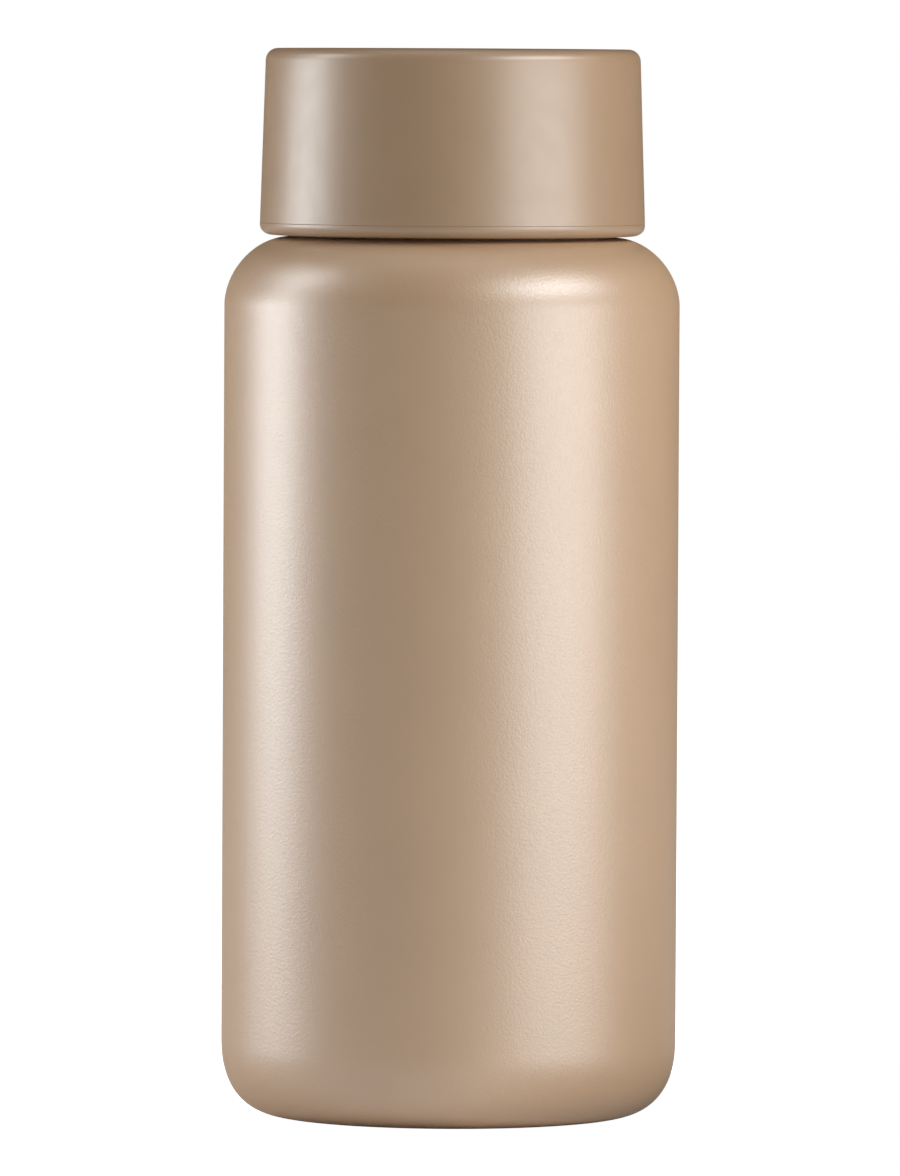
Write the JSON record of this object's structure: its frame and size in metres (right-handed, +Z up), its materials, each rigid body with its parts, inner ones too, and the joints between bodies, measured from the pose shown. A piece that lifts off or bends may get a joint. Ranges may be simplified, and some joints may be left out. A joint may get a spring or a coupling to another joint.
{
  "type": "insulated water bottle",
  "caption": "Slim double-wall water bottle in copper-tone powder coat with a tapered screw cap, threaded neck, gasket, plug and vacuum-gap parts.",
  "frame": {"origin": "centre of the foot ring's rest plane, on the bottle's axis", "axes": "+Z up along the bottle's axis from the foot to the cap; +X to the right and -Y towards the viewer"},
  "size_m": [0.075, 0.075, 0.1759],
  "materials": {
    "body_coat": "satin",
    "bare_steel": "satin",
    "foil_copper": "gloss",
    "solder_glass": "gloss",
    "getter_alloy": "matte",
    "silicone": "matte",
    "cap_plastic": "satin",
    "core_plastic": "satin",
    "foam": "matte"
  },
  "bodies": {
    "bottle": {"outer_shell": "body_coat", "inner_liner": "bare_steel", "liner_base": "bare_steel", "copper_foil": "foil_copper", "outer_base": "bare_steel", "seal_bead": "solder_glass", "getter": "getter_alloy", "getter_strap": "bare_steel", "base_cover": "bare_steel"},
    "gasket": {"cap_gasket": "silicone"},
    "cap": {"cap_shell": "cap_plastic", "cap_core": "core_plastic", "cap_foam": "foam"}
  },
  "joints": [
    {"name": "cap_rise", "type": "slide", "parent": "bottle", "child": "gasket", "axis": [0, 0, 1], "range_m": [0, 0.024]},
    {"name": "cap_turn", "type": "hinge", "parent": "gasket", "child": "cap", "pos_m": [0, 0, 0.1452], "axis": [0, 0, 1], "range_deg": [0, 1080]}
  ],
  "couplings": [
    {"joint": "cap_rise", "follows": "cap_turn", "m_per_rad": 0.0012732}
  ]
}
